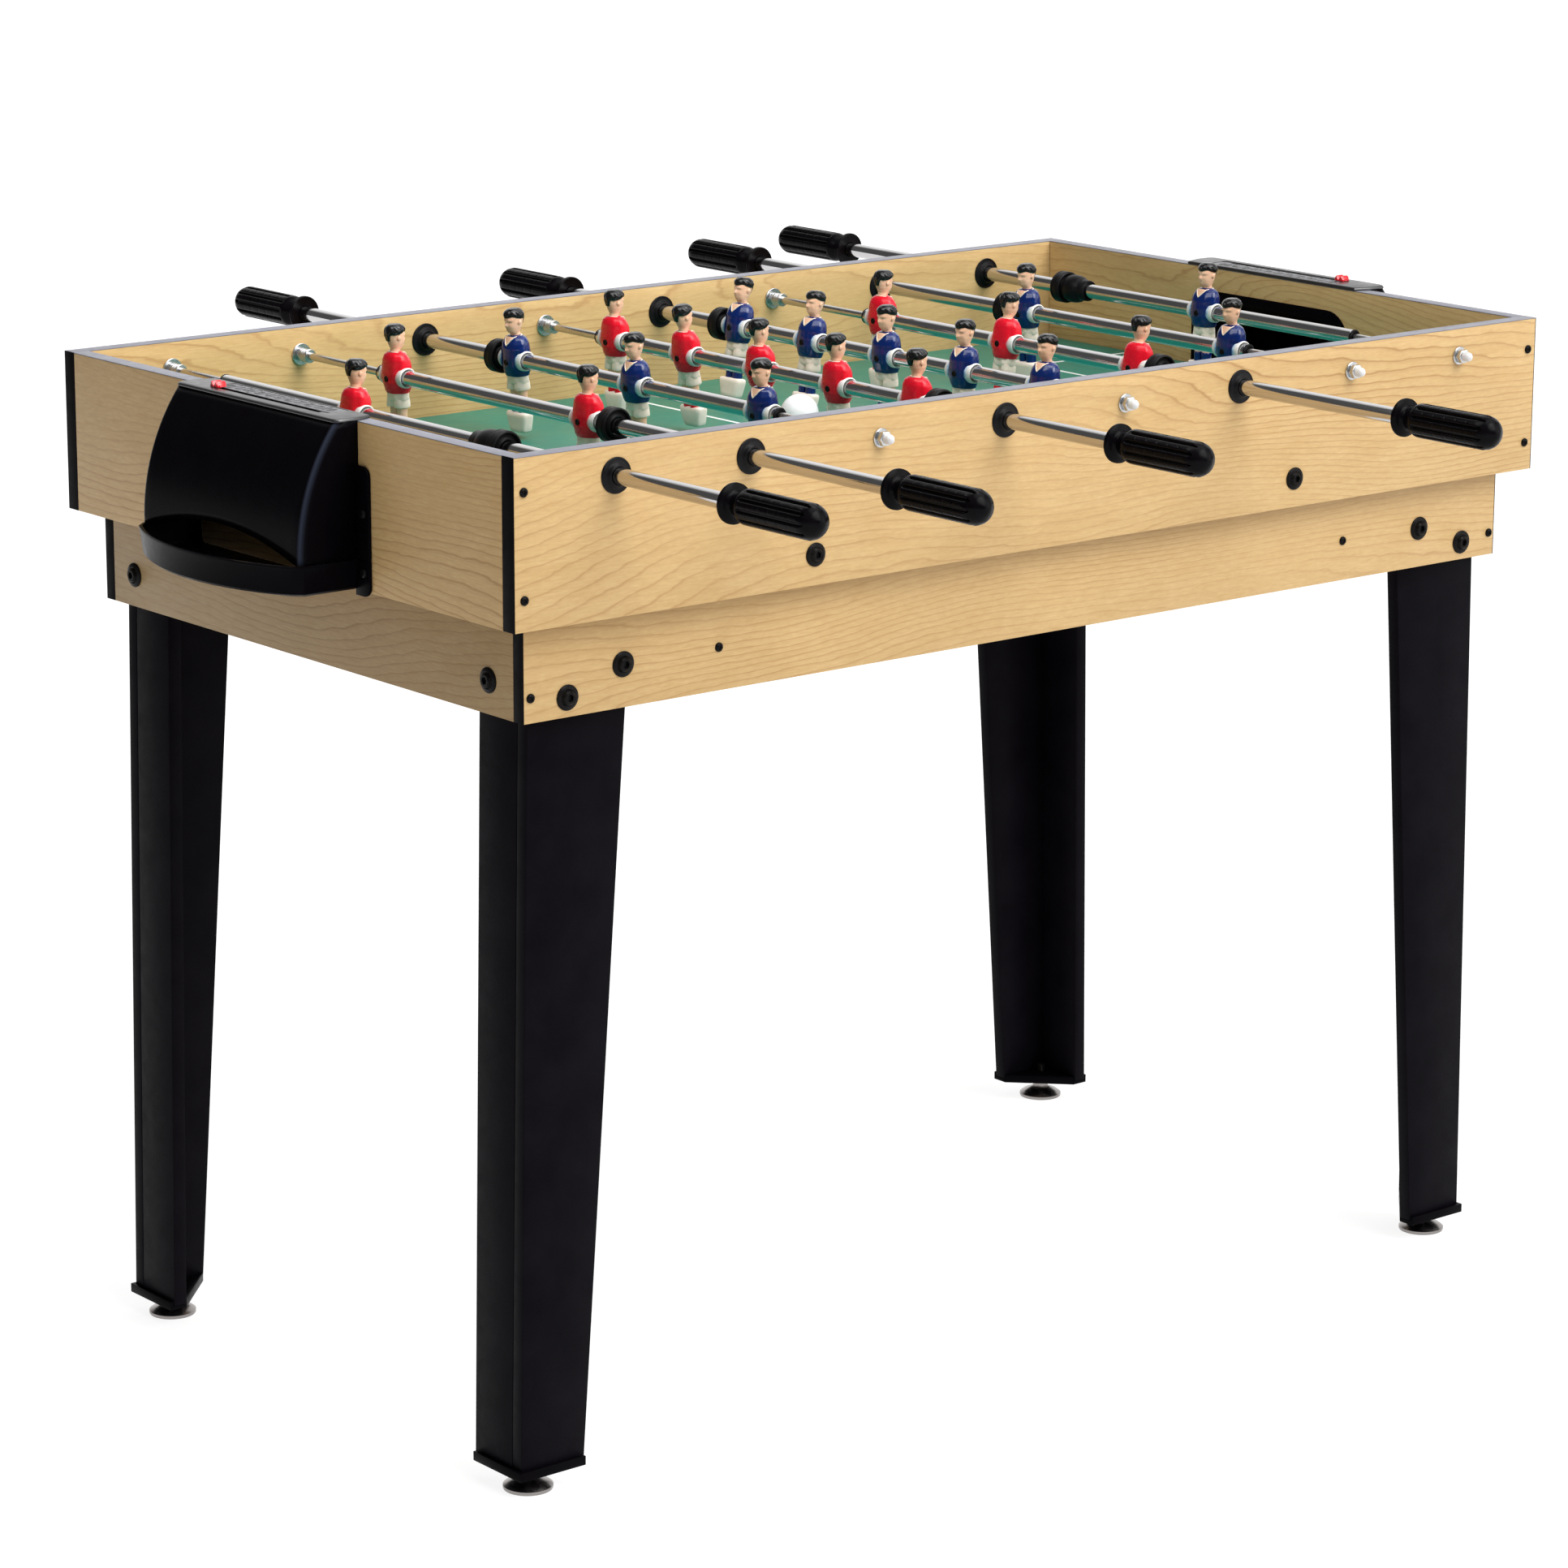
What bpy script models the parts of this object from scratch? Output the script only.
"""Table football game: a cabinet on four legs with eight telescopic player rods.

Metres, +Z up. The origin is on the floor under the middle of the table. X runs along
the table's length and Y across it; "near" is -Y, "far" is +Y, "left" is -X.
"""

import math

import bmesh
import bpy
from mathutils import Matrix, Vector

# ---- Driving dimensions -------------------------------------------------------------

TABLE_LENGTH = 1.067
TABLE_WIDTH = 0.610
TABLE_HEIGHT = 0.813
CABINET_DEPTH = 0.129          # height of the upper box
PANEL = 0.014                  # thickness of the upper box's boards
BOARD = 0.012                  # thickness of the lower frame's and the legs' boards
GAP = 0.0003                   # clearance between pieces that touch

FRAME_LENGTH = 1.024           # lower frame, outside
FRAME_WIDTH = 0.571
FRAME_BOTTOM = 0.610
FIELD_TOP = 0.724
FIELD_THICKNESS = 0.005

ROD_HEIGHT = 0.790
ROD_PITCH = 0.126
ROD_COUNT = 8
TUBE_RADIUS = 0.00635
TUBE_BORE = 0.0049
INNER_ROD_RADIUS = 0.0032
INNER_ROD_REACH = 0.050        # how far past the table's middle the inner rod runs
BUSH_HOLE_RADIUS = 0.0095
INNER_ROD_HOLE = 0.0043
ROD_SIDES = 12

# One entry a rod, from left to right: men, handle side (-1 near, 1 far), which way the
# men face along X, where the middle of the men stands along Y, how far the handle's
# collar is from there, and how far the bumper is from the outermost man.
RODS = (
    (1, -1, 1, 0.0280, 0.4690, 0.1940),
    (2, -1, 1, 0.0235, 0.4945, 0.0317),
    (3, 1, -1, -0.0010, 0.4730, 0.0223),
    (5, -1, 1, -0.0045, 0.4280, 0.0265),
    (5, 1, -1, -0.0140, 0.4360, 0.0220),
    (3, -1, 1, -0.0220, 0.4640, 0.0265),
    (2, 1, -1, -0.0350, 0.5010, 0.0250),
    (1, 1, -1, 0.0, 0.4860, 0.1830),
)
MAN_SPACING = {1: 0.0, 2: 0.257, 3: 0.162, 5: 0.098}
TUBE_PAST_MAN = 0.020          # free end of the tube past the last man's middle
GOALIE_TUBE_END = 0.1825
BUMPER_LENGTH = 0.011
BUMPER_RADIUS = 0.014
BUMPER_BORE = 0.0070

HANDLE_LENGTH = 0.100
HANDLE_RADIUS = 0.0133
HANDLE_NECK_RADIUS = 0.0085
COLLAR_RADIUS = 0.0151
HANDLE_BORE = 0.0067
HANDLE_BORE_DEPTH = 0.080
TUBE_IN_HANDLE = 0.078

MAN_TOP = 0.042                # above the rod's axis
MAN_BOTTOM = 0.061             # below the rod's axis
HUB_RADIUS = 0.0088
HUB_LENGTH = 0.031

LEG_TOP = 0.700
LEG_FOOT = 0.0205
LEG_WIDTH_TOP = 0.096          # width of the long-side face at LEG_TOP
LEG_WIDTH_BOTTOM = 0.0595
LEG_END_WIDTH = 0.060          # width of the end-side face
FOOT_CORNER = (0.514, 0.2764)  # outer corner of a foot cap
FOOT_CAP_SIDE = 0.062
FOOT_CAP_BOTTOM = 0.0167
FOOT_CAP_TOP = 0.0243
FOOT_LIP = 0.003
LEVELLER_INSET = 0.025         # from the foot cap's corner, each way
LEVELLER_DISC_RADIUS = 0.0195
LEVELLER_STEM_RADIUS = 0.0040
LEVELLER_TOP = 0.031

GOAL_HALF_WIDTH = 0.0885
GOAL_TOP = 0.783
GOAL_CORNER = 0.026

COVER_HALF_WIDTH = 0.110
COVER_OUT = 0.0536             # how far the cover stands out at its lower edge
COVER_ARC_RADIUS = 0.166
COVER_ARC_HEIGHT = 0.712       # height of the centre of the cover's curve
COVER_BOTTOM = 0.7088
COVER_WALL = 0.0025
CAP_THICKNESS = 0.0026
CAP_INNER_HALF_LENGTH = 0.105
CAP_IN = 0.0145                # how far the cap reaches inwards over the end board
CAP_OUT = 0.0200
CAP_CORNER = 0.005
ARCH_HALF_WIDTH = 0.102
ARCH_RISE = 0.016
FLANGE_END = 0.126             # where the side flanges end, from the middle
FLANGE_TOP = 0.780
FLANGE_CORNER = 0.008

TRAY_TOP = 0.7085
TRAY_BOTTOM = 0.685
TRAY_HALF_WIDTH = 0.111
TRAY_CORNER_OUT = 0.056
TRAY_BOW_OUT = 0.085
TRAY_FLANGE_BOTTOM = 0.681

SLOT_OUT = 0.0075              # the score slot's middle line, out from the table's end
SLOT_WIDTH = 0.004
SCORE_START = -0.0675
SCORE_TRAVEL = 0.135
SLIDER_LENGTH = 0.011
SLIDER_WIDTH = 0.009
SLIDER_HEIGHT = 0.0045

BALL_RADIUS = 0.016
BALL_SPOT = (0.0124, 0.0377)

COLOURS = {
    "maple": ((0.72, 0.52, 0.27), 0.45, 0.0),
    "field_green": ((0.05, 0.30, 0.16), 0.4, 0.0),
    "black_board": ((0.012, 0.012, 0.013), 0.4, 0.0),
    "black_plastic": ((0.010, 0.010, 0.011), 0.35, 0.0),
    "chrome": ((0.75, 0.76, 0.78), 0.12, 1.0),
    "zinc": ((0.55, 0.56, 0.57), 0.3, 1.0),
    "red_plastic": ((0.70, 0.02, 0.04), 0.3, 0.0),
    "white_plastic": ((0.85, 0.85, 0.82), 0.35, 0.0),
}

# ---- Scene and helpers --------------------------------------------------------------

for old in list(bpy.data.objects):
    bpy.data.objects.remove(old, do_unlink=True)

table = bpy.data.collections.new("foosball_table")
cutters = bpy.data.collections.new("cutters")
bpy.context.scene.collection.children.link(table)
bpy.context.scene.collection.children.link(cutters)


def make_material(name):
    colour, roughness, metallic = COLOURS[name]
    material = bpy.data.materials.new(name)
    material.use_nodes = True
    shader = material.node_tree.nodes["Principled BSDF"]
    shader.inputs["Base Color"].default_value = (*colour, 1.0)
    shader.inputs["Roughness"].default_value = roughness
    shader.inputs["Metallic"].default_value = metallic
    return material


MATERIALS = {name: make_material(name) for name in COLOURS}


def add_object(name, mesh, material=None, matrix=None):
    """Link a mesh as a part, or as a hidden cutter when it has no material."""
    obj = bpy.data.objects.new(name, mesh)
    if matrix is not None:
        obj.matrix_world = matrix
    if material is None:
        cutters.objects.link(obj)
        obj.hide_render = True
        obj.display_type = "WIRE"
    else:
        table.objects.link(obj)
        mesh.materials.append(MATERIALS[material])
    return obj


def mesh_from(bm, name, smooth_angle=None):
    """Turn a bmesh into a mesh, shaded smooth up to the given angle in degrees."""
    bmesh.ops.recalc_face_normals(bm, faces=bm.faces)
    mesh = bpy.data.meshes.new(name)
    bm.to_mesh(mesh)
    bm.free()
    if smooth_angle is not None:
        mesh.shade_smooth()
        mesh.set_sharp_from_angle(angle=math.radians(smooth_angle))
    return mesh


def box(name, low, high, material=None):
    """A box between two corners."""
    low = Vector(low)
    high = Vector(high)
    bm = bmesh.new()
    scale = Matrix.Diagonal((*(high - low), 1.0))
    bmesh.ops.create_cube(bm, size=1.0, matrix=Matrix.Translation((low + high) / 2) @ scale)
    return add_object(name, mesh_from(bm, name), material)


def cylinder_along(name, axis, centre, radius, length, sides=ROD_SIDES, material=None):
    """A cylinder along X, Y or Z."""
    turns = {"X": Matrix.Rotation(math.pi / 2, 4, "Y"),
             "Y": Matrix.Rotation(math.pi / 2, 4, "X"),
             "Z": Matrix.Identity(4)}
    bm = bmesh.new()
    bmesh.ops.create_cone(bm, cap_ends=True, segments=sides, radius1=radius, radius2=radius,
                          depth=length, matrix=Matrix.Translation(centre) @ turns[axis])
    return add_object(name, mesh_from(bm, name, 40), material)


def as_mesh(curve_object, name, material=None):
    """Replace a curve object by a mesh object with welded caps."""
    bpy.context.view_layer.update()
    depsgraph = bpy.context.evaluated_depsgraph_get()
    mesh = bpy.data.meshes.new_from_object(curve_object.evaluated_get(depsgraph))
    matrix = curve_object.matrix_world.copy()
    bpy.data.objects.remove(curve_object, do_unlink=True)
    bm = bmesh.new()
    bm.from_mesh(mesh)
    bmesh.ops.remove_doubles(bm, verts=bm.verts, dist=0.00001)
    mesh.materials.clear()
    bpy.data.meshes.remove(mesh)
    return add_object(name, mesh_from(bm, name), material, matrix)


def outline(name, points, thickness, matrix, material=None):
    """A flat closed outline, extruded by half its thickness to each side."""
    curve = bpy.data.curves.new(name + "_outline", "CURVE")
    curve.dimensions = "2D"
    curve.fill_mode = "BOTH"
    curve.extrude = thickness / 2
    spline = curve.splines.new("POLY")
    spline.points.add(len(points) - 1)
    for point, (x, y) in zip(spline.points, points):
        point.co = (x, y, 0.0, 1.0)
    spline.use_cyclic_u = True
    holder = bpy.data.objects.new(name + "_outline", curve)
    holder.matrix_world = matrix
    cutters.objects.link(holder)
    return as_mesh(holder, name, material)


def turned(name, profile, steps, matrix, material):
    """Turn an (r, z) profile, listed from top to bottom on its outer side, about Z."""
    bm = bmesh.new()
    verts = [bm.verts.new((r, 0.0, z)) for r, z in profile]
    for first, second in zip(verts, verts[1:]):
        bm.edges.new((first, second))
    mesh = bpy.data.meshes.new(name)
    bm.to_mesh(mesh)
    bm.free()
    obj = add_object(name, mesh, material, matrix)
    screw = obj.modifiers.new("turn", "SCREW")
    screw.angle = math.tau
    screw.steps = steps
    screw.render_steps = steps
    screw.use_merge_vertices = True
    screw.merge_threshold = 0.00001
    screw.use_smooth_shade = True
    return obj


def closed_ring(profile):
    """Close a profile that doesn't touch the axis, so that it turns into a ring."""
    return list(profile) + [profile[0]]


def boolean(obj, other, operation):
    modifier = obj.modifiers.new(operation.lower(), "BOOLEAN")
    modifier.operation = operation
    modifier.solver = "EXACT"
    modifier.object = other
    return modifier


def cut(obj, *others):
    for other in others:
        boolean(obj, other, "DIFFERENCE")


def join(obj, *others):
    for other in others:
        boolean(obj, other, "UNION")


def baked(obj, smooth_angle=None):
    """The object's evaluated shape as a new mesh in world coordinates."""
    bpy.context.view_layer.update()
    depsgraph = bpy.context.evaluated_depsgraph_get()
    mesh = bpy.data.meshes.new_from_object(obj.evaluated_get(depsgraph))
    mesh.transform(obj.matrix_world)
    if smooth_angle is not None:
        mesh.shade_smooth()
        mesh.set_sharp_from_angle(angle=math.radians(smooth_angle))
    return mesh


def arc(centre, radius, start, end, count):
    """Points on a circle from one angle to another, in degrees, ends included."""
    points = []
    for step in range(count + 1):
        angle = math.radians(start + (end - start) * step / count)
        points.append((centre[0] + radius * math.cos(angle),
                       centre[1] + radius * math.sin(angle)))
    return points


# Planes that outlines are drawn in. Each takes (x, y, 0) to two of the world's axes.
IN_XZ = Matrix(((1, 0, 0, 0), (0, 0, -1, 0), (0, 1, 0, 0), (0, 0, 0, 1)))
IN_YZ = Matrix(((0, 0, 1, 0), (1, 0, 0, 0), (0, 1, 0, 0), (0, 0, 0, 1)))
END_TURN = {-1: Matrix.Rotation(math.pi, 4, "Z"), 1: Matrix.Identity(4)}

# ---- Places worked out from the driving dimensions ----------------------------------

HALF_LENGTH = TABLE_LENGTH / 2
HALF_WIDTH = TABLE_WIDTH / 2
INNER_HALF_LENGTH = HALF_LENGTH - PANEL
INNER_HALF_WIDTH = HALF_WIDTH - PANEL
CABINET_BOTTOM = TABLE_HEIGHT - CABINET_DEPTH
FIELD_BOTTOM = FIELD_TOP - FIELD_THICKNESS
FRAME_TOP = FIELD_BOTTOM - GAP
CAP_BOTTOM = TABLE_HEIGHT + GAP
CAP_TOP = CAP_BOTTOM + CAP_THICKNESS


def rod_x(index):
    return (index - (ROD_COUNT - 1) / 2) * ROD_PITCH


def men_offsets(count):
    """Where a rod's men stand, from the middle of the row."""
    spacing = MAN_SPACING[count]
    return [(place - (count - 1) / 2) * spacing for place in range(count)]


def tube_free_end(count):
    """Distance from the middle of the men to the tube's free end."""
    if count == 1:
        return GOALIE_TUBE_END
    return men_offsets(count)[-1] + TUBE_PAST_MAN


# ---- Cabinet ------------------------------------------------------------------------


def upper_side(name, side):
    """A long upper board, drilled for its bushes and for the inner rods' ends."""
    inner = side * INNER_HALF_WIDTH
    outer = side * HALF_WIDTH
    low = (-HALF_LENGTH, min(inner, outer), CABINET_BOTTOM)
    high = (HALF_LENGTH, max(inner, outer), TABLE_HEIGHT)
    board = box(name, low, high, "maple")
    for index, (_men, handle_side, *_rest) in enumerate(RODS):
        radius = BUSH_HOLE_RADIUS if handle_side == side else INNER_ROD_HOLE
        drill = cylinder_along(f"{name}_drill_{index + 1}", "Y",
                               (rod_x(index), (inner + outer) / 2, ROD_HEIGHT),
                               radius, 3 * PANEL)
        cut(board, drill)
    return board


def goal_outline():
    """The goal's shape in Y and Z, square below and rounded above."""
    side = GOAL_HALF_WIDTH - GOAL_CORNER
    top = GOAL_TOP - GOAL_CORNER
    points = [(-GOAL_HALF_WIDTH, FIELD_TOP), (GOAL_HALF_WIDTH, FIELD_TOP)]
    points += arc((side, top), GOAL_CORNER, 0, 90, 4)
    points += arc((-side, top), GOAL_CORNER, 90, 180, 4)
    return points


def upper_end(name, side):
    """A short upper board between the long ones, with the goal cut through it."""
    inner = side * INNER_HALF_LENGTH
    outer = side * HALF_LENGTH
    half = INNER_HALF_WIDTH - GAP
    low = (min(inner, outer), -half, CABINET_BOTTOM)
    high = (max(inner, outer), half, TABLE_HEIGHT)
    board = box(name, low, high, "maple")
    place = Matrix.Translation(((inner + outer) / 2, 0, 0))
    cut(board, outline(f"{name}_goal", goal_outline(), 3 * PANEL, place @ IN_YZ))
    return board


def cabinet():
    upper_side("upper_side_near", -1)
    upper_side("upper_side_far", 1)
    upper_end("upper_end_left", -1)
    upper_end("upper_end_right", 1)
    half_x = INNER_HALF_LENGTH - GAP
    half_y = INNER_HALF_WIDTH - GAP
    box("playfield", (-half_x, -half_y, FIELD_BOTTOM), (half_x, half_y, FIELD_TOP), "field_green")


def lower_frame():
    """Four boards on edge that carry the playfield and hold the legs."""
    half_x = FRAME_LENGTH / 2
    half_y = FRAME_WIDTH / 2
    for name, side in (("apron_near", -1), ("apron_far", 1)):
        inner = side * (half_y - BOARD)
        outer = side * half_y
        box(name, (-half_x, min(inner, outer), FRAME_BOTTOM),
            (half_x, max(inner, outer), FRAME_TOP), "maple")
    half_end = half_y - BOARD - GAP
    for name, side in (("apron_left", -1), ("apron_right", 1)):
        inner = side * (half_x - BOARD)
        outer = side * half_x
        box(name, (min(inner, outer), -half_end, FRAME_BOTTOM),
            (max(inner, outer), half_end, FRAME_TOP), "maple")


# ---- Legs and feet ------------------------------------------------------------------


def leg(name, side_x, side_y):
    """An L-shaped leg: a tapered face along X and a splayed face along Y."""
    outer_foot = FOOT_CORNER[0] - FOOT_LIP
    outer_frame = FRAME_LENGTH / 2 - BOARD - GAP
    splay = (outer_foot - outer_frame) / (FRAME_BOTTOM - LEG_FOOT)
    outer_top = outer_foot - splay * (LEG_TOP - LEG_FOOT)
    face = [(outer_foot, LEG_FOOT), (outer_top, LEG_TOP),
            (outer_top - LEG_WIDTH_TOP, LEG_TOP), (outer_foot - LEG_WIDTH_BOTTOM, LEG_FOOT)]
    past = BOARD
    hollow = [(outer_foot - BOARD + splay * past, LEG_FOOT - past),
              (outer_top - BOARD - splay * past, LEG_TOP + past),
              (outer_top - 2 * LEG_WIDTH_TOP, LEG_TOP + past),
              (outer_foot - 2 * LEG_WIDTH_TOP, LEG_FOOT - past)]
    outer_y = FRAME_WIDTH / 2 - BOARD - GAP
    body_middle = outer_y - LEG_END_WIDTH / 2
    hollow_middle = outer_y - BOARD - LEG_END_WIDTH

    def placed(points, middle, thickness, part_name, material):
        flat = [(side_x * x, z) for x, z in points]
        place = Matrix.Translation((0, side_y * middle, 0)) @ IN_XZ
        return outline(part_name, flat, thickness, place, material)

    body = placed(face, body_middle, LEG_END_WIDTH, name, "black_board")
    inside = placed(hollow, hollow_middle, 2 * LEG_END_WIDTH, name + "_hollow", None)
    cut(body, inside)


def foot_cap(name, side_x, side_y):
    """A moulded corner cap under a leg, with a rim round the leg and a corner web."""
    side = FOOT_CAP_SIDE
    notch = FOOT_LIP + BOARD + 2 * GAP
    plan = [(0, 0), (-side, 0), (-side, -notch), (-notch, -side), (0, -side)]
    flat = [(side_x * (FOOT_CORNER[0] + x), side_y * (FOOT_CORNER[1] + y)) for x, y in plan]
    height = FOOT_CAP_TOP - FOOT_CAP_BOTTOM
    place = Matrix.Translation((0, 0, (FOOT_CAP_TOP + FOOT_CAP_BOTTOM) / 2))
    body = outline(name, flat, height, place, "black_plastic")
    wall = FOOT_LIP - GAP
    floor = LEG_FOOT - GAP
    above = FOOT_CAP_TOP + height
    recess = [(-wall, -wall), (-1.5 * side, -wall), (-1.5 * side, -notch),
              (-notch, -notch), (-notch, -1.5 * side), (-wall, -1.5 * side)]
    flat_recess = [(side_x * (FOOT_CORNER[0] + x), side_y * (FOOT_CORNER[1] + y))
                   for x, y in recess]
    recess_place = Matrix.Translation((0, 0, (floor + above) / 2))
    cut(body, outline(name + "_recess", flat_recess, above - floor, recess_place))
    stem_x, stem_y = leveller_place(side_x, side_y)
    cut(body, cylinder_along(name + "_stem_hole", "Z",
                             (stem_x, stem_y, (FOOT_CAP_TOP + FOOT_CAP_BOTTOM) / 2),
                             LEVELLER_STEM_RADIUS + 2 * GAP, 3 * height))


def leveller_place(side_x, side_y):
    return (side_x * (FOOT_CORNER[0] - LEVELLER_INSET),
            side_y * (FOOT_CORNER[1] - LEVELLER_INSET))


def leveller(name, side_x, side_y):
    """A screw-in foot: threaded stem, nut and a domed disc that meets the floor."""
    disc = LEVELLER_DISC_RADIUS
    stem = LEVELLER_STEM_RADIUS
    top = LEVELLER_TOP
    nut = 0.0075
    nut_top = FOOT_CAP_BOTTOM - 0.0017
    nut_bottom = 0.0090
    profile = [(0.0, top), (0.8 * stem, top), (stem, top - 0.2 * stem), (stem, nut_top),
               (nut, nut_top), (nut, nut_bottom), (0.62 * disc, 0.0078), (0.9 * disc, 0.0050),
               (disc, 0.0030), (disc, 0.0006), (0.97 * disc, 0.0), (0.0, 0.0)]
    x, y = leveller_place(side_x, side_y)
    turned(name, profile, 12, Matrix.Translation((x, y, 0)), "zinc")


def legs_and_feet():
    for near_far, side_y in (("near", -1), ("far", 1)):
        for left_right, side_x in (("left", -1), ("right", 1)):
            corner = f"{near_far}_{left_right}"
            leg(f"leg_{corner}", side_x, side_y)
            foot_cap(f"foot_cap_{corner}", side_x, side_y)
            leveller(f"leveller_{corner}", side_x, side_y)


# ---- Scorer cover, ball tray and score slider, drawn at the right-hand end ------------


def end_part(obj, end):
    """Move a piece drawn at the table's right-hand end to the end it belongs to."""
    obj.matrix_world = END_TURN[end] @ obj.matrix_world
    return obj


def cover_profile(inset, bottom, top):
    """The cover's section: out from the end board, and up. It leans in on one arc."""
    radius = COVER_ARC_RADIUS - inset
    centre = (COVER_OUT - COVER_ARC_RADIUS, COVER_ARC_HEIGHT)
    low_angle = math.degrees(math.asin((bottom - centre[1]) / radius))
    high_angle = math.degrees(math.asin((top - centre[1]) / radius))
    return arc(centre, radius, low_angle, high_angle, 8)


def at_end(points):
    return [(HALF_LENGTH + out, height) for out, height in points]


def cover_shell(name):
    """The curved cover as a thin shell, open below and towards the goal."""
    inside_cap = CAP_BOTTOM + CAP_THICKNESS / 2
    outer = [(GAP, inside_cap), (GAP, COVER_BOTTOM)]
    outer += cover_profile(0.0, COVER_BOTTOM, inside_cap)
    shell = outline(name, at_end(outer), 2 * COVER_HALF_WIDTH, IN_XZ, "black_plastic")
    below = COVER_BOTTOM - ARCH_RISE
    inner = [(-ARCH_RISE, CAP_BOTTOM), (-ARCH_RISE, below)]
    inner += cover_profile(COVER_WALL, below, CAP_BOTTOM)
    hollow = outline(name + "_hollow", at_end(inner),
                     2 * (COVER_HALF_WIDTH - COVER_WALL), IN_XZ)
    return shell, hollow


def cap_outline():
    """The flat cap on the end board's top edge, seen from above."""
    half = COVER_HALF_WIDTH
    corner_out = CAP_OUT - CAP_CORNER
    points = [(-CAP_IN, -CAP_INNER_HALF_LENGTH), (0.0, -half)]
    points += arc((corner_out, CAP_CORNER - half), CAP_CORNER, 270, 360, 3)
    points += arc((corner_out, half - CAP_CORNER), CAP_CORNER, 0, 90, 3)
    return points + [(0.0, half), (-CAP_IN, CAP_INNER_HALF_LENGTH)]


def side_flange(name, side, bottom, top):
    """A thin ear on the end board, with its outer top or bottom corner rounded."""
    start = COVER_HALF_WIDTH - COVER_WALL / 2
    radius = FLANGE_CORNER
    if top > TRAY_TOP:
        points = [(start, bottom), (FLANGE_END, bottom)]
        points += arc((FLANGE_END - radius, top - radius), radius, 0, 90, 3)
        points += [(start, top)]
    else:
        points = [(start, top), (start, bottom)]
        points += arc((FLANGE_END - radius, bottom + radius), radius, 270, 360, 3)
        points += [(FLANGE_END, top)]
    flat = [(side * y, z) for y, z in points]
    place = Matrix.Translation((HALF_LENGTH + GAP + COVER_WALL / 2, 0, 0))
    return outline(name, flat, COVER_WALL, place @ IN_YZ)


def scorer_cover(name, end):
    """Cap, curved cover and its two side flanges, moulded as one piece."""
    shell, hollow = cover_shell(name)
    cap_place = Matrix.Translation((HALF_LENGTH, 0, (CAP_TOP + CAP_BOTTOM) / 2))
    cap = outline(name + "_cap", cap_outline(), CAP_THICKNESS, cap_place)
    ears = [side_flange(f"{name}_ear_{side}", side, COVER_BOTTOM, FLANGE_TOP)
            for side in (-1, 1)]
    rise_radius = (ARCH_HALF_WIDTH ** 2 + ARCH_RISE ** 2) / (2 * ARCH_RISE)
    arch_centre = COVER_BOTTOM + ARCH_RISE - rise_radius
    arch = outline(name + "_arch", arch_outline(arch_centre, rise_radius), COVER_OUT,
                   Matrix.Translation((HALF_LENGTH + COVER_OUT, 0, 0)) @ IN_YZ)
    slot_end = SLIDER_LENGTH / 2 - 0.001
    slot_low = SCORE_START - slot_end
    slot_high = SCORE_START + SCORE_TRAVEL + slot_end
    slot = box(name + "_slot",
               (HALF_LENGTH + SLOT_OUT - SLOT_WIDTH / 2, slot_low, CAP_BOTTOM - CAP_THICKNESS),
               (HALF_LENGTH + SLOT_OUT + SLOT_WIDTH / 2, slot_high, CAP_TOP + CAP_THICKNESS))
    cut(shell, hollow)
    join(shell, cap, *ears)
    cut(shell, arch, slot)
    for piece in (shell, hollow, cap, *ears, arch, slot):
        end_part(piece, end)


def arch_outline(centre_z, radius):
    """The arched cut in the cover's lower edge, closed well below it."""
    half_angle = math.degrees(math.asin(ARCH_HALF_WIDTH / radius))
    points = arc((0.0, centre_z), radius, 90 - half_angle, 90 + half_angle, 8)
    low = COVER_BOTTOM - ARCH_RISE
    return [(-ARCH_HALF_WIDTH, low), (ARCH_HALF_WIDTH, low)] + points


def tray_plan(half_width, corner_out, bow_out, back):
    """The tray seen from above: straight sides and a bowed front."""
    rise = bow_out - corner_out
    radius = (half_width ** 2 + rise ** 2) / (2 * rise)
    half_angle = math.degrees(math.asin(half_width / radius))
    bow = arc((bow_out - radius, 0.0), radius, -half_angle, half_angle, 12)
    return [(back, half_width), (back, -half_width)] + bow


def ball_tray(name, end):
    """The open tray under the cover that catches the ball."""
    plan = tray_plan(TRAY_HALF_WIDTH, TRAY_CORNER_OUT, TRAY_BOW_OUT, GAP)
    middle = Matrix.Translation((HALF_LENGTH, 0, (TRAY_TOP + TRAY_BOTTOM) / 2))
    body = outline(name, plan, TRAY_TOP - TRAY_BOTTOM, middle, "black_plastic")
    room = tray_plan(TRAY_HALF_WIDTH - COVER_WALL, TRAY_CORNER_OUT - COVER_WALL,
                     TRAY_BOW_OUT - COVER_WALL, -PANEL)
    floor = TRAY_BOTTOM + COVER_WALL
    above = TRAY_TOP + PANEL
    room_place = Matrix.Translation((HALF_LENGTH, 0, (floor + above) / 2))
    hollow = outline(name + "_room", room, above - floor, room_place)
    ears = [side_flange(f"{name}_ear_{side}", side, TRAY_FLANGE_BOTTOM, TRAY_TOP)
            for side in (-1, 1)]
    join(body, *ears)
    cut(body, hollow)
    for piece in (body, hollow, *ears):
        end_part(piece, end)


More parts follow.
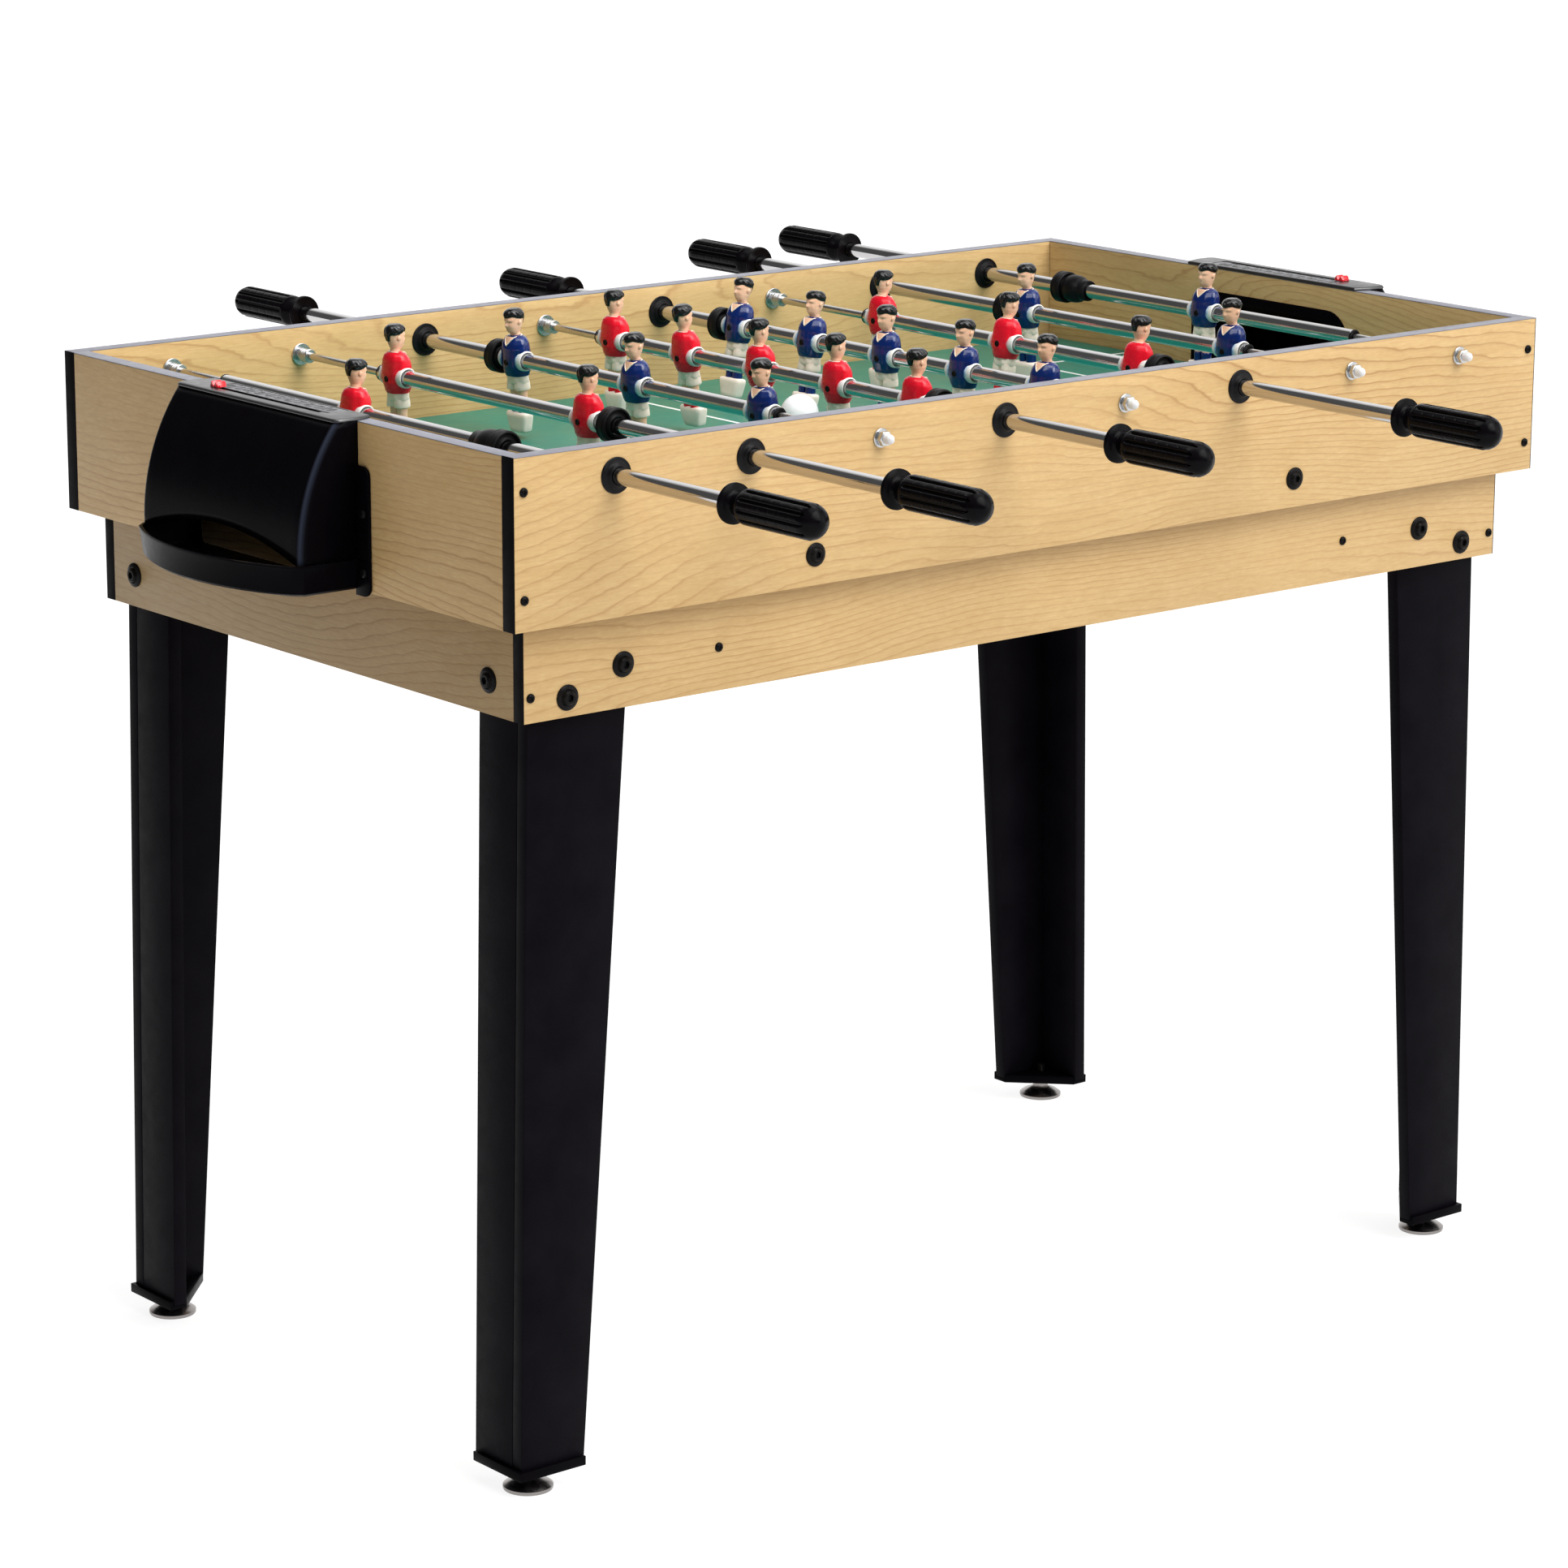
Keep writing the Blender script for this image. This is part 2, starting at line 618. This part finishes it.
def score_slider(name, end):
    """The pointer that slides along the slot: button above, stem, and foot below."""
    x = HALF_LENGTH + SLOT_OUT
    y = SCORE_START
    half_x = SLIDER_WIDTH / 2
    half_y = SLIDER_LENGTH / 2
    button = box(name, (x - half_x, y - half_y, CAP_TOP + GAP),
                 (x + half_x, y + half_y, CAP_TOP + GAP + SLIDER_HEIGHT), "red_plastic")
    stem_x = SLOT_WIDTH / 2 - 2 * GAP
    stem_y = half_y - 0.003
    stem = box(name + "_stem", (x - stem_x, y - stem_y, CAP_BOTTOM - 0.001),
               (x + stem_x, y + stem_y, CAP_TOP + 0.001))
    foot = box(name + "_foot", (x - half_x, y - stem_y, CAP_BOTTOM - 0.0025),
               (x + half_x, y + stem_y, CAP_BOTTOM - GAP))
    join(button, stem, foot)
    for piece in (button, stem, foot):
        end_part(piece, end)


def goal_ends():
    for name, end in (("left", -1), ("right", 1)):
        scorer_cover(f"scorer_cover_{name}", end)
        ball_tray(f"ball_tray_{name}", end)
        score_slider(f"score_slider_{name}", end)


# ---- Rods ---------------------------------------------------------------------------


def man_mesh():
    """One player about the rod's axis, facing +X: body, head, legs and foot block."""
    body_profile = [(0.0, 0.0270), (0.0062, 0.0270), (0.0068, 0.0215), (0.0140, 0.0180),
                    (0.0155, 0.0080), (0.0130, -0.0110), (0.0135, -0.0240),
                    (0.0088, -0.0270), (0.0078, -0.0470), (0.0, -0.0470)]
    squash = Matrix.Diagonal((0.62, 1.0, 1.0, 1.0)) @ Matrix.Rotation(math.pi / 2, 4, "Z")
    body = turned("man_body", body_profile, 6, squash, None)
    bm = bmesh.new()
    place = Matrix.Translation((0.0, 0.0, MAN_TOP - 0.0110))
    bmesh.ops.create_uvsphere(bm, u_segments=6, v_segments=5, radius=1.0,
                              matrix=place @ Matrix.Diagonal((0.0090, 0.0084, 0.0110, 1.0)))
    head = add_object("man_head", mesh_from(bm, "man_head"))
    hub = cylinder_along("man_hub", "Y", (0, 0, 0), HUB_RADIUS, HUB_LENGTH, 8)
    foot_side = [(-0.0055, -0.0440), (0.0060, -0.0440), (0.0085, -0.0490),
                 (0.0060, -MAN_BOTTOM), (-0.0035, -MAN_BOTTOM)]
    foot = outline("man_foot", foot_side, 0.024, IN_XZ)
    join(body, head, hub, foot)
    return baked(body)


def row_of_men(name, man, count, facing, middle):
    """All of a rod's men as one operand, standing on the rod's line."""
    bm = bmesh.new()
    for offset in men_offsets(count):
        start = len(bm.verts)
        bm.from_mesh(man)
        bm.verts.ensure_lookup_table()
        turn = Matrix.Rotation(0.0 if facing > 0 else math.pi, 4, "Z")
        place = Matrix.Translation((0.0, middle + offset, 0.0)) @ turn
        bmesh.ops.transform(bm, matrix=place, verts=bm.verts[start:])
    return add_object(name, mesh_from(bm, name))


def player_rod(number, man):
    """The outer tube with its men fixed on it, bored through for the inner rod."""
    count, side, facing, middle, reach, _bumper = RODS[number - 1]
    free_end = middle - side * tube_free_end(count)
    handle_end = middle + side * (reach + TUBE_IN_HANDLE)
    centre = (free_end + handle_end) / 2
    length = abs(handle_end - free_end)
    name = f"rod_{number}"
    tube = cylinder_along(name, "Y", (0, centre, 0), TUBE_RADIUS, length,
                          material="chrome")
    men = row_of_men(name + "_men", man, count, facing, middle)
    bore = cylinder_along(name + "_bore", "Y", (0, centre, 0), TUBE_BORE, length + 0.02)
    join(tube, men)
    cut(tube, bore)
    return [tube, men, bore]


def handle(number):
    """A grip with a collar, bored part way for the tube's end."""
    _count, side, _facing, middle, reach, _bumper = RODS[number - 1]
    name = f"handle_{number}"
    grip = HANDLE_RADIUS
    neck = HANDLE_NECK_RADIUS
    dome = HANDLE_LENGTH - grip
    outer = [(dome_r, dome + dome_z) for dome_z, dome_r in arc((0.0, 0.0), grip, 0, 90, 5)]
    outer += [(grip, 0.0190), (neck + 0.0016, 0.0125), (neck, 0.0085), (neck + 0.0008, 0.0050),
              (COLLAR_RADIUS, 0.0030), (COLLAR_RADIUS, 0.0), (HANDLE_BORE, 0.0),
              (HANDLE_BORE, HANDLE_BORE_DEPTH), (0.0, HANDLE_BORE_DEPTH)]
    start = middle + side * reach
    place = Matrix.Translation((0, start, 0)) @ Matrix.Rotation(-side * math.pi / 2, 4, "X")
    return turned(name, outer, ROD_SIDES, place, "black_plastic")


def bumper(number):
    """The rubber ring that meets the wall's bush at the end of the rod's travel."""
    count, side, _facing, middle, _reach, distance = RODS[number - 1]
    half = BUMPER_LENGTH / 2
    ring = closed_ring([(BUMPER_RADIUS, half), (BUMPER_RADIUS, -half),
                        (BUMPER_BORE, -half), (BUMPER_BORE, half)])
    centre = middle + side * (men_offsets(count)[-1] + distance)
    place = Matrix.Translation((0, centre, 0)) @ Matrix.Rotation(-side * math.pi / 2, 4, "X")
    return turned(f"bumper_{number}", ring, ROD_SIDES, place, "black_plastic")


def inner_rod(number):
    """The fixed rod that the tube slides on, clamped through the wall by two nuts."""
    side = RODS[number - 1][1]
    wall_in = INNER_HALF_WIDTH - GAP
    wall_out = HALF_WIDTH + GAP
    thread = INNER_ROD_RADIUS
    nut = 0.0060
    outer_washer = 0.0075
    inner_washer = 0.0092
    washer = 0.0016
    cap_end = wall_out + 0.0140
    outer_nut = wall_out + 0.0070
    inner_nut = wall_in - 0.0136
    profile = [(0.0, cap_end), (0.5 * nut, cap_end - 0.0010), (0.8 * nut, outer_nut),
               (nut, outer_nut), (nut, wall_out + washer), (outer_washer, wall_out + washer),
               (outer_washer, wall_out), (thread, wall_out), (thread, wall_in),
               (inner_washer, wall_in), (inner_washer, wall_in - washer),
               (nut, wall_in - washer), (nut, inner_nut), (thread, inner_nut),
               (thread, -INNER_ROD_REACH), (0.0, -INNER_ROD_REACH)]
    place = Matrix.Rotation(side * math.pi / 2, 4, "X")
    return turned(f"inner_rod_{number}", profile, 8, place, "zinc")


def rods():
    """Each rod stands on an empty on its own axis, which its moving pieces turn about."""
    man = man_mesh()
    for number in range(1, ROD_COUNT + 1):
        axis = bpy.data.objects.new(f"rod_{number}_axis", None)
        axis.location = (rod_x(number - 1), 0.0, ROD_HEIGHT)
        table.objects.link(axis)
        pieces = player_rod(number, man) + [handle(number), bumper(number), inner_rod(number)]
        for piece in pieces:
            piece.parent = axis


def ball():
    bm = bmesh.new()
    bmesh.ops.create_icosphere(bm, subdivisions=2, radius=BALL_RADIUS)
    place = Matrix.Translation((*BALL_SPOT, FIELD_TOP + GAP + BALL_RADIUS))
    add_object("ball", mesh_from(bm, "ball", 60), "white_plastic", place)


cabinet()
lower_frame()
legs_and_feet()
goal_ends()
rods()
ball()
